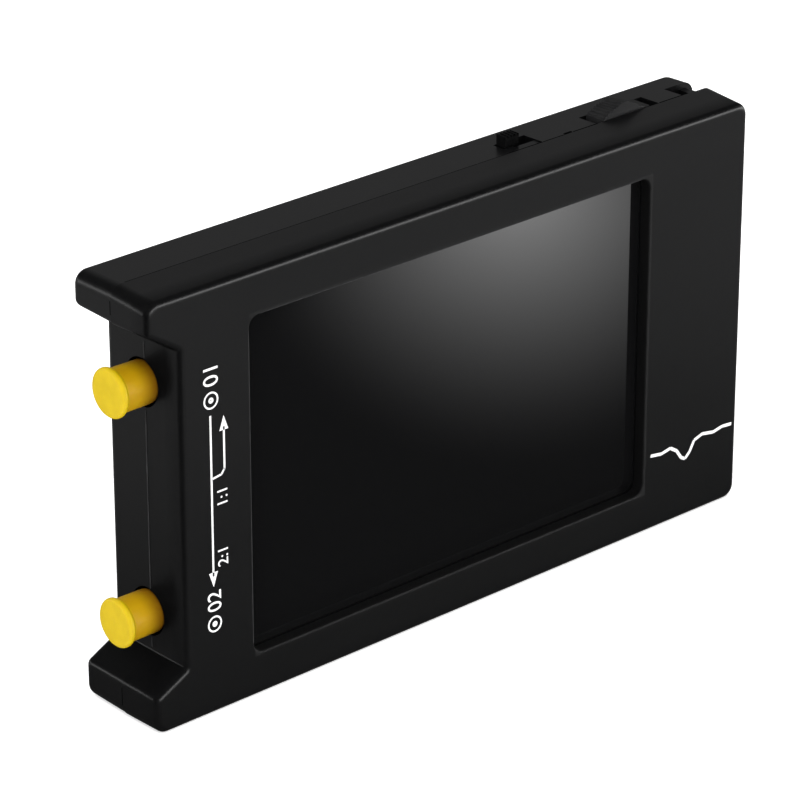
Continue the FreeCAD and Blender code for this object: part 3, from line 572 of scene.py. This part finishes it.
# %% [markdown]
# ## The dust caps' plastic
# Soft yellow polyethylene lets some light in before it sends it back, which makes the shaded side
# glow orange. Subsurface scattering does that, and a waxy, uneven shine covers it. The colour holds
# painted light and shade too: the disc is painted a lighter yellow than the body, and the body's
# inner end is painted shade. Reflections see an almost black cap, which paints shade into the
# recess wall beside it and keeps yellow off that wall.

# %% Cap plastic
# Along x in mm: where the painted lighter disc ends, and where painted shade runs on the body's inner end.
DISC_END, SHADE_RUN = (-66.2, -65.4), (-64.0, -59.6)


def cap_plastic():
    material, graph = new_finish("cap_plastic_finish")
    place = graph.where()
    flow = graph.noise(graph.stretched(place, (120, 420, 420)), 1.0, 3.0)
    scuff = graph.noise(place, 3500, 3.0)
    # The disc is painted a lighter yellow than the body: painted light and shade on one plastic.
    disc = graph.blend(flow.step(0.3, 0.7), (0.54, 0.39, 0.004, 1), (0.49, 0.35, 0.003, 1))
    body = graph.blend(flow.step(0.3, 0.7), (0.46, 0.27, 0.003, 1), (0.42, 0.24, 0.003, 1))
    across = graph.millimetres()[0]
    yellow = graph.blend(across.step(*DISC_END), disc, body)
    # The body's inner end is painted shade, darker towards the recess wall.
    yellow = graph.blend(across.step(*SHADE_RUN), yellow, (0.15, 0.060, 0.002, 1))
    # Reflections see a near-black cap, which paints shade into the recess wall beside it.
    mirrored = graph.node("ShaderNodeLightPath")["Is Glossy Ray"]
    colour = graph.blend(mirrored, yellow, (0.004, 0.003, 0.001, 1))
    principled(graph, graph.bump(flow + 0.3 * scuff, 1.5e-5, 0.6), Base_Color=colour,
               Roughness=0.38 + 0.12 * (scuff - 0.5), Specular_IOR_Level=0.3, Subsurface_Weight=0.2,
               Subsurface_Radius=(0.9, 0.5, 0.1), Subsurface_Scale=0.0012)
    return material


finishes["cap_plastic"] = cap_plastic()


# %% Give every loaded part its finish
for name, part in nodes.items():
    slot = part.data.materials[0].name.split(".")[0]
    part.data.materials[0] = finishes[slot]
print("finished", len(nodes), "parts")

# %% [markdown]
# ## Dust caps
# The loaded caps are plain turned shapes. Each new one is a profile turned about its port's axis:
# a disc with a soft edge and the dimple of the moulding gate, a body that narrows slightly, and
# the hollow that grips the thread. A cap rides on its own body, so it pulls off its port.

# %% Dust caps
LEFT_END = -66.85
PORTS = {"upper": 57.6, "lower": 17.0}
CAP_PROFILE = [(-0.31, 0.0), (-0.315, 0.35), (-0.33, 0.62), (-0.345, 0.80), (-0.35, 1.0), (-0.35, 1.4),
               (-0.35, 3.5), (-0.33, 3.75), (-0.25, 3.98), (-0.10, 4.14), (0.10, 4.23), (0.35, 4.25),
               (0.52, 4.23), (0.65, 4.14), (0.74, 4.0), (0.80, 3.88), (0.88, 3.80), (1.0, 3.76),
               (1.3, 3.75), (4.0, 3.73), (6.6, 3.71), (6.95, 3.68), (7.12, 3.60), (7.2, 3.47),
               (7.2, 3.36), (7.13, 3.27), (7.0, 3.23), (6.6, 3.225), (1.1, 3.225), (0.9, 3.2),
               (0.78, 3.1), (0.75, 2.9), (0.75, 0.0)]
for label, height in PORTS.items():
    points, faces = lathe([(LEFT_END + x, radius) for x, radius in CAP_PROFILE], height)
    cap = piece(f"dust_cap_{label}", points, faces, finishes["cap_plastic"], f"cap_{label}")
    caps_alone.objects.link(cap)
    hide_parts(f"port_{label}_cap")
print("dust caps", list(PORTS))

# %% [markdown]
# ## Port threads
# A coaxial port's outer thread is a helix: the radius at a place depends on how far along the axis
# it is minus how far round it is. A triangle wave of that difference gives the thread, and it
# fades out at both ends. The square flange is the same grid with its radius divided by the larger
# of |cos| and |sin|, which turns a circle into a square.

# %% Port threads
PITCH, CREST, ROOT, BORE = 0.7056, 3.175, 2.78, 2.06
TIP, FACE, BACK, HALF = 2.0, 9.3, 10.9, 3.2
LEAD, RELIEF, BEVEL, RUN_OUT, BLUNT = 0.25, 0.3, 0.42, 0.7, 0.6
LEG_ROWS, LEG_SIDE, LEG_LENGTH, LEG_SINK = (-0.5, 2.1), 1, 3.4, 0.1


def port_body(height):
    """radius = crest - (crest - root) * (fade * (1 - wave) + (1 - fade) * blunt) on the thread,
    where wave = 2 * |frac((x - tip) / pitch - angle / (2 pi)) - 1/2|.

    A ring's row is (x, radius, thread share, square share); the square share is 1 on the flange."""
    thread_x = np.arange(TIP + LEAD, FACE - RELIEF, PITCH / 10)
    rows = [(BACK, BORE, 0, 0), (TIP, BORE, 0, 0), (TIP, CREST - BEVEL, 0, 0)]
    rows += [(x, CREST, 1, 0) for x in thread_x]
    rows += [(FACE - LEAD, ROOT, 0, 0), (FACE, ROOT, 0, 0), (FACE, HALF, 0, 1), (BACK, HALF, 0, 1)]
    x, radius, thread, square = np.array(rows, float).T[:, :, None]
    angle = np.linspace(0, 2 * np.pi, STEPS, endpoint=False)[None]
    turn = (x - TIP) / PITCH - angle / (2 * np.pi)
    wave = 2 * np.abs(turn - np.floor(turn) - 0.5)
    fade = np.clip((x - TIP) / RUN_OUT, 0, 1) * np.clip((FACE - RELIEF - x) / RUN_OUT, 0, 1)
    depth = (CREST - ROOT) * (1 - wave)
    reach = radius - thread * (depth * fade + (1 - fade) * (CREST - ROOT) * BLUNT)
    reach = reach / (1 - square + square * np.maximum(np.abs(np.cos(angle)), np.abs(np.sin(angle))))
    points = np.stack([np.broadcast_to(LEFT_END + x, reach.shape), PORT_Y + reach * np.cos(angle),
                       height + reach * np.sin(angle)], axis=-1).reshape(-1, 3)
    faces = grid_faces(len(rows), STEPS).tolist()
    first, last = np.arange(STEPS), (len(rows) - 1) * STEPS + np.arange(STEPS)
    ring = np.stack([last, np.roll(last, -1), np.roll(first, -1), first], axis=-1).tolist()
    return points * MM, faces + ring


for label, height in PORTS.items():
    points, faces = port_body(height)
    jack = piece(f"threaded_port_{label}", points, faces, finishes["gold_plate"], "case")
    jack.data.set_sharp_from_angle(angle=math.radians(38))
    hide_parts(f"port_{label}_body")
    gold_alone.objects.link(jack)
    for side, leg_y in enumerate(LEG_ROWS):
        for end, leg_z in enumerate((height - HALF, height + HALF - LEG_SIDE)):
            low = (LEFT_END + BACK - LEG_SINK, leg_y, leg_z)
            high = (low[0] + LEG_LENGTH, leg_y + LEG_SIDE, leg_z + LEG_SIDE)
            leg = bar(f"port_{label}_leg_{side}_{end}", low, high, finishes["gold_plate"])
print("port threads", round((FACE - TIP) / PITCH, 1), "turns")

# %% [markdown]
# ## The jog cap
# Seen from the front the jog cap is a hump with finger ribs on its left slope. The side view is one
# closed loop, and each row of the grid repeats it at another depth, drawn in a little near both
# ends so the edges are soft. The hump also falls by 0.3 mm from front to rear.

# %% Jog cap
JOG_LEFT, JOG_RIGHT, JOG_FRONT, HUMP_TOP = 107.1, 118.3, -0.55, 5.3
TOP_Z, FLANGE, FLANGE_TOP, FLANGE_FOOT = 76.0, (104.3, 121.1), 73.1, 72.3
RIB_HEIGHT, RIB_START, RIB_SPACING, RIB_ENDS = 0.25, 0.45, 0.62, (0.4, 4.3)


def jog_surface():
    """height = hump(x) + rib height * max(0, sin(2 pi (x - rib start) / rib spacing)).

    The x runs from the cap's left end, and the ribs stand on the left slope only."""
    knots = [(0, 0.0), (0.6, 0.4), (1.46, 0.97), (2.6, 1.42), (3.4, 1.62), (4.2, 2.05), (4.9, 2.22),
             (5.7, 2.2), (6.4, 1.98), (7.1, 1.62), (8.6, 0.80), (9.9, 0.25), (11.2, 0.03)]
    across = np.linspace(0, JOG_RIGHT - JOG_LEFT, 150)
    hump = np.interp(across, *np.array(knots).T)
    soft = np.convolve(np.pad(hump, 4, mode="edge"), np.full(9, 1 / 9), mode="valid")
    ribs = RIB_HEIGHT * np.maximum(0, np.sin(2 * np.pi * (across - RIB_START) / RIB_SPACING))
    ribs = ribs * (across > RIB_ENDS[0]) * (across < RIB_ENDS[1])
    top = np.stack([JOG_LEFT + across, TOP_Z + soft + ribs + 0.03], axis=-1)
    under = [(JOG_RIGHT, FLANGE_TOP), (FLANGE[1], FLANGE_TOP), (FLANGE[1], FLANGE_FOOT),
             (FLANGE[0], FLANGE_FOOT), (FLANGE[0], FLANGE_TOP), (JOG_LEFT, FLANGE_TOP)]
    loop = np.concatenate([top, np.array(under)])
    inset = np.array([0.14, 0.06, 0.02, 0.0, 0.0, 0.02, 0.06, 0.14])
    depth = np.array([0.0, 0.02, 0.07, 0.16, 4.04, 4.13, 4.18, 4.20]) + JOG_FRONT
    lower = np.array([0.0, 0.0, 0.0, 0.0, 0.30, 0.32, 0.34, 0.36])
    raised = np.clip((loop[:, 1] - TOP_Z) / 2.2, 0, 1)
    z = loop[None, :, 1] - (inset[:, None] + lower[:, None]) * raised[None] ** 0.5
    inward = np.sign(JOG_LEFT + HUMP_TOP - loop[None, :, 0])
    x = loop[None, :, 0] + np.where(raised[None] > 0, inset[:, None] * 0.6 * inward, 0)
    y = np.broadcast_to(depth[:, None], x.shape)
    return np.stack([x + LEFT_END, y, z], axis=-1)


surface = jog_surface()
rows, columns = surface.shape[:2]
faces = grid_faces(rows, columns).tolist()
faces += [list(range(columns))[::-1], list(range((rows - 1) * columns, rows * columns))]
jog_finish = common_finish("jog_plastic_finish", colour=(0.010, 0.010, 0.0105),
                           second=(0.015, 0.015, 0.0155), lumps=900, shine=0.5, spread=0.1,
                           grain=6000, depth=8e-6, specular=0.22)
jog = piece("jog_rocker", surface.reshape(-1, 3) * MM, faces, jog_finish, "jog_button")
for end in (-1, -2):
    jog.data.polygons[end].use_smooth = False
jog.data.set_sharp_from_angle(angle=math.radians(32))
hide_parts("jog_cap")
print("jog cap", len(faces), "faces")

# %% [markdown]
# ## Printed marks
# White pad-printed marks show how a signal runs between the ports. They are thin slabs that stand
# 0.03 mm proud of the face. A stroke is a box or a prism, a ring is a grid, and the numbers come
# from the built-in font, turned into a mesh and stood on end.

# %% Printed marks
FACE_Y, PROUD, RING_STEPS = -9.5, 0.03, 64


def ink():
    material, graph = new_finish("print_ink_finish")
    grain = graph.noise(graph.where(), 5200, 2.0)
    thin = graph.noise(graph.where(), 900, 2.0).step(0.35, 0.6)
    colour = graph.blend(thin, grey(0.80), grey(0.90))
    principled(graph, graph.bump(grain, 6e-6), Base_Color=colour, Roughness=0.5 + 0.2 * (grain - 0.5))
    return material


ink_finish = ink()


def slab(name, outline):
    """A thin prism on the front face.

    The outline is convex, in (x, z) millimetres from the left end, and runs clockwise seen from +y."""
    outline = np.array(outline, float)
    count = len(outline)
    front = np.column_stack([outline[:, 0] + LEFT_END, np.full(count, FACE_Y - PROUD), outline[:, 1]])
    back = front + (0, 2 * PROUD, 0)
    here = np.arange(count)
    beside = np.roll(here, -1)
    sides = np.stack([here, beside, beside + count, here + count], axis=-1)[:, ::-1]
    faces = [list(range(count)), list(range(count, 2 * count))[::-1]] + sides.tolist()
    return piece(name, np.concatenate([front, back]) * MM, faces, ink_finish, "case", False)


def stroke(name, start, stop, width=0.36):
    """A straight printed line between two places."""
    start, stop = np.array(start, float), np.array(stop, float)
    ahead = (stop - start) / np.linalg.norm(stop - start)
    side = np.array([-ahead[1], ahead[0]]) * width / 2
    return slab(name, [start - side, stop - side, stop + side, start + side])


def ring(name, centre, outer, inner):
    """A flat ring: four corners of its cross-section carried round a circle."""
    angle = np.linspace(0, 2 * np.pi, RING_STEPS, endpoint=False)[None]
    radius = np.array([outer, inner, inner, outer])[:, None]
    depth = np.array([FACE_Y - PROUD] * 2 + [FACE_Y + PROUD] * 2)[:, None]
    x = LEFT_END + centre[0] + radius * np.cos(angle)
    z = centre[1] + radius * np.sin(angle)
    points = np.stack([x, np.broadcast_to(depth, x.shape), z], axis=-1).reshape(-1, 3)
    faces = grid_faces(len(radius) + 1, RING_STEPS) % len(points)
    return piece(name, points * MM, faces.tolist(), ink_finish, "case", False)


def number(name, text, place, height, stretch=1.0):
    """Figures that read upwards; place is the x of their foot line and the z of their start, in mm."""
    font = bpy.data.curves.new(name, "FONT")
    font.body, font.size, font.extrude = text, 1.0, 0.02
    holder = bpy.data.objects.new(name + "_text", font)
    bpy.context.scene.collection.objects.link(holder)
    bpy.context.view_layer.update()
    mesh = bpy.data.meshes.new_from_object(holder.evaluated_get(bpy.context.evaluated_depsgraph_get()))
    bpy.data.objects.remove(holder)
    flat = np.empty(len(mesh.vertices) * 3)
    mesh.vertices.foreach_get("co", flat)
    flat = flat.reshape(-1, 3)
    flat[:, 0] -= flat[:, 0].min()
    flat[:, :2] *= height / np.ptp(flat[:, 1])
    points = np.column_stack([LEFT_END + place[0] - (flat[:, 1] - flat[:, 1].min()),
                              FACE_Y - np.sign(flat[:, 2]) * PROUD, place[1] + flat[:, 0] * stretch])
    faces = [list(face.vertices) for face in mesh.polygons]
    return piece(name, points * MM, faces, ink_finish, "case", False)


marks = [
    number("mark_port_1", "01", (14.1, 58.3), 3.0, 0.95), ring("mark_ring_1", (12.6, 55.8), 1.5, 1.2),
    ring("mark_dot_1", (12.6, 55.8), 0.5, 0.12),
    number("mark_port_2", "02", (13.9, 18.6), 2.8, 0.95), ring("mark_ring_2", (12.5, 16.3), 1.45, 1.15),
    ring("mark_dot_2", (12.5, 16.3), 0.5, 0.12),
    stroke("mark_through", (12.4, 53.2), (12.4, 24.9)),
    slab("mark_through_tip", [(11.5, 25.6), (12.4, 23.0), (13.3, 25.6)]),
    stroke("mark_branch_foot", (12.4, 42.1), (14.5, 42.4)),
    stroke("mark_branch_bend", (14.4, 42.35), (15.15, 43.3)),
    stroke("mark_branch", (15.1, 43.1), (15.1, 50.6)),
    slab("mark_branch_tip", [(14.2, 50.0), (16.0, 50.0), (15.1, 52.5)]),
    number("mark_reflected", "1:1", (15.6, 37.2), 2.1), number("mark_passed", "2:1", (15.5, 26.2), 2.1),
]
trace = [(111.7, 14.6), (114.4, 14.2), (116.6, 14.6), (118.2, 13.6), (119.4, 11.9), (120.4, 11.4),
         (121.5, 12.4), (122.6, 14.3), (124.6, 14.9), (127.4, 14.4), (129.6, 14.8), (132.0, 14.6)]
for index, (start, stop) in enumerate(zip(trace, trace[1:])):
    marks.append(stroke(f"mark_trace_{index}", start, stop, 0.6))
print("printed marks", len(marks))

# %% [markdown]
# ## Flash ridges and painted edge highlights
# No moulding is perfect. Three thin ridges of flash stand on the seam at the left end. They and
# thin strips on the left and top edges of the screen's window are painted lighter, as highlights.

# %% Flash ridges and painted edge highlights
SPLIT_Y = -0.8
RIDGES = ((10.9, 12.6), (21.5, 53.0), (62.1, 65.0))
HIGHLIGHT_EDGES = (("left", 20.42, 20.56, 10.0, 65.4), ("top", 22.9, 107.6, 67.72, 67.82))
# A lighter colour that paints highlights on the flash ridges and on the window's edges.
painted_highlight = common_finish("worn_edge_finish", colour=(0.024, 0.024, 0.025), second=(0.036, 0.036, 0.037),
                     lumps=700, shine=0.5, spread=0.1, grain=5000, depth=5e-6, specular=0.3)
for index, (foot, top) in enumerate(RIDGES):
    low = (LEFT_END + 6.30, SPLIT_Y - 0.10, foot)
    high = (LEFT_END + 6.5, SPLIT_Y + 0.06, top)
    bar(f"moulding_ridge_{index}", low, high, painted_highlight)
# Thin strips on the window's left and top edges are painted highlights.
for side, low_x, high_x, foot, top in HIGHLIGHT_EDGES:
    low = (LEFT_END + low_x, FACE_Y - 0.01, foot)
    high = (LEFT_END + high_x, FACE_Y + 0.12, top)
    bar(f"window_edge_highlight_{side}", low, high, painted_highlight)
print("worn edges ready")

# %% [markdown]
# ## The parting line
# The two shells meet in a narrow gap. Light that enters it does not come back, so it is drawn by
# thin strips that reflect almost nothing, broken where the switches and the eye interrupt it.

# %% Parting line
TOP_GAPS = ((3.0, 85.0, 0.10), (85.0, 98.2, 0.2), (100.0, 105.6, 0.24), (120.6, 126.3, 0.24))
END_GAPS = ((71.3, 73.6), (2.4, 5.6))
gap_material, gap_graph = new_finish("gap_shadow_finish")
gap_noise = gap_graph.noise(gap_graph.where(), 800, 2.0)
gap_colour = gap_graph.blend(gap_noise, grey(0.0004), grey(0.0008))
principled(gap_graph, None, Base_Color=gap_colour, Roughness=0.9, IOR=1.02)
gaps = [((start, 75.8), (stop, 76.004), width) for start, stop, width in TOP_GAPS]
gaps += [((-0.006, foot), (0.15, top), 0.16) for foot, top in END_GAPS]
for index, ((start, foot), (stop, top), width) in enumerate(gaps):
    low = (LEFT_END + start, SPLIT_Y - 0.01, foot)
    high = (LEFT_END + stop, SPLIT_Y + width, top)
    bar(f"parting_line_{index}", low, high, gap_material)
print("parting line ready")

# %% [markdown]
# ## The floor
# The box stands on white paper. Reflections leave the paper out, because the table's glow already
# sets what the low faces mirror.

# %% Floor
def paper():
    material, graph = new_finish("paper_finish")
    fibre = graph.noise(graph.where(), 900, 3.0)
    colour = graph.blend(fibre, grey(0.90), grey(0.94))
    principled(graph, graph.bump(fibre, 1e-5, 0.3), Base_Color=colour, Roughness=0.8,
               Specular_IOR_Level=0.2, Emission_Color=grey(1.0), Emission_Strength=0.4)
    return material


FLOOR_HALF = 3.0
floor = sheet("floor", FLOOR_HALF, FLOOR_HALF, paper())
floor.visible_glossy = False
bpy.context.scene.collection.objects.link(floor)
floor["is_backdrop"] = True
print("floor", floor.dimensions[:])

# %% Sizes and finish
low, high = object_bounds()
print("visual box in mm", [round(side / MM, 2) for side in high - low])
